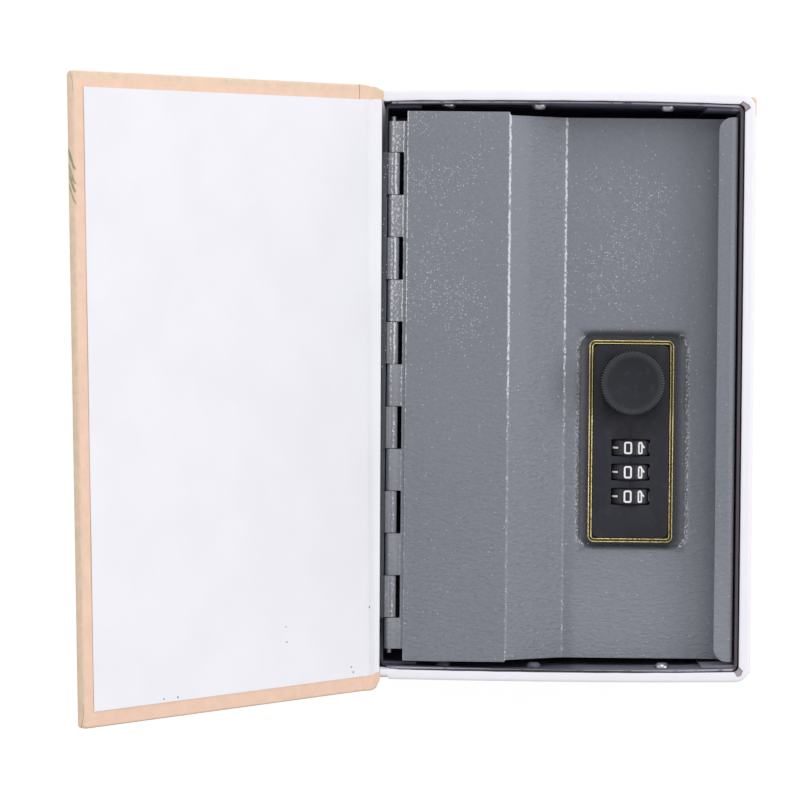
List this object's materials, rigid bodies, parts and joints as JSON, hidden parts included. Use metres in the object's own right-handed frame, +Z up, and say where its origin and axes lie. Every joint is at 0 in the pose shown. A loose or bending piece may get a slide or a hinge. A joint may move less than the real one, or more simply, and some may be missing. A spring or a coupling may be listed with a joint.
{
  "type": "book diversion safe",
  "caption": "Hardback book with a hinged cover that hides a steel box; the box has a hinged lid with a wheel combination lock, a knob and a turning cam.",
  "frame": {"origin": "middle of the back cover's outer face, on the surface the book lies on", "axes": "+Z up out of the lying book, +X from the spine towards the fore edge, +Y towards the head of the book"},
  "size_m": [0.2016, 0.1846, 0.1413],
  "materials": {
    "greyboard": "raw",
    "printed_paper": "printed and laminated, matt",
    "white_paper": "matt",
    "box_paint": "hammertone powder coat",
    "lid_paint": "hammertone powder coat",
    "hinge_paint": "powder coat",
    "steel": "zinc plated",
    "black_plastic": "fine texture",
    "gold_trim": "gold metallised",
    "wheel_plastic": "satin",
    "brass": "plain"
  },
  "bodies": {
    "book": {"spine_board": "greyboard", "back_board": "greyboard", "case_wrap": "printed_paper", "gutter_paper": "white_paper", "back_endpaper": "white_paper", "page_frame": "greyboard", "page_paper": "white_paper", "steel_box": "box_paint", "catch_bracket": "box_paint", "box_screw_1": "steel", "box_screw_2": "steel", "box_screw_3": "steel", "box_screw_4": "steel", "box_screw_5": "steel", "box_screw_6": "steel", "box_hinge_leaf": "hinge_paint", "hinge_pin": "steel", "cover_joint_fold": "white_paper"},
    "front_cover": {"front_board": "greyboard", "front_cover_wrap": "printed_paper", "front_endpaper": "white_paper"},
    "lid": {"lid_hinge_leaf": "hinge_paint", "lid_panel": "lid_paint", "lock_body": "black_plastic", "lock_face": "black_plastic", "lock_rim": "gold_trim", "lock_back_cover": "black_plastic", "lock_retainer": "steel", "back_cover_screw_1": "steel", "back_cover_screw_2": "steel", "back_cover_screw_3": "steel", "back_cover_screw_4": "steel", "wheel_axle": "steel", "detent_spring": "steel"},
    "code_wheel_1": {"code_wheel_1": "wheel_plastic", "gate_ring_1": "brass"},
    "code_wheel_2": {"code_wheel_2": "wheel_plastic", "gate_ring_2": "brass"},
    "code_wheel_3": {"code_wheel_3": "wheel_plastic", "gate_ring_3": "brass"},
    "knob": {"knob": "black_plastic", "knob_spindle": "steel", "spindle_clip": "steel", "cam": "steel", "cam_screw": "steel"},
    "locking_bar": {"locking_bar": "steel"}
  },
  "joints": [
    {"name": "cover_hinge", "type": "hinge", "parent": "book", "child": "front_cover", "pos_m": [-0.0585, 0, 0.05215], "axis": [0.0143, -0.9999, 0], "range_deg": [-132, 48]},
    {"name": "lid_hinge", "type": "hinge", "parent": "book", "child": "lid", "pos_m": [-0.0533, 0, 0.0478], "axis": [0, -1, 0], "range_deg": [0, 100]},
    {"name": "knob_turn", "type": "hinge", "parent": "lid", "child": "knob", "pos_m": [0.0192, 0.0013, 0.045], "axis": [0, 0, 1], "range_deg": [0, 90]},
    {"name": "code_wheel_1_turn", "type": "hinge", "parent": "lid", "child": "code_wheel_1", "pos_m": [0.0192, -0.0184, 0.0351], "axis": [0, 1, 0], "continuous": true},
    {"name": "code_wheel_2_turn", "type": "hinge", "parent": "lid", "child": "code_wheel_2", "pos_m": [0.0192, -0.02577, 0.0351], "axis": [0, 1, 0], "continuous": true},
    {"name": "code_wheel_3_turn", "type": "hinge", "parent": "lid", "child": "code_wheel_3", "pos_m": [0.0192, -0.03314, 0.0351], "axis": [0, 1, 0], "continuous": true},
    {"name": "bar_slide", "type": "slide", "parent": "lid", "child": "locking_bar", "axis": [0, 0, 1], "range_m": [0, 0.0006]}
  ],
  "couplings": [
    {"joint": "bar_slide", "follows": "knob_turn", "m_per_rad": 0.00038}
  ]
}
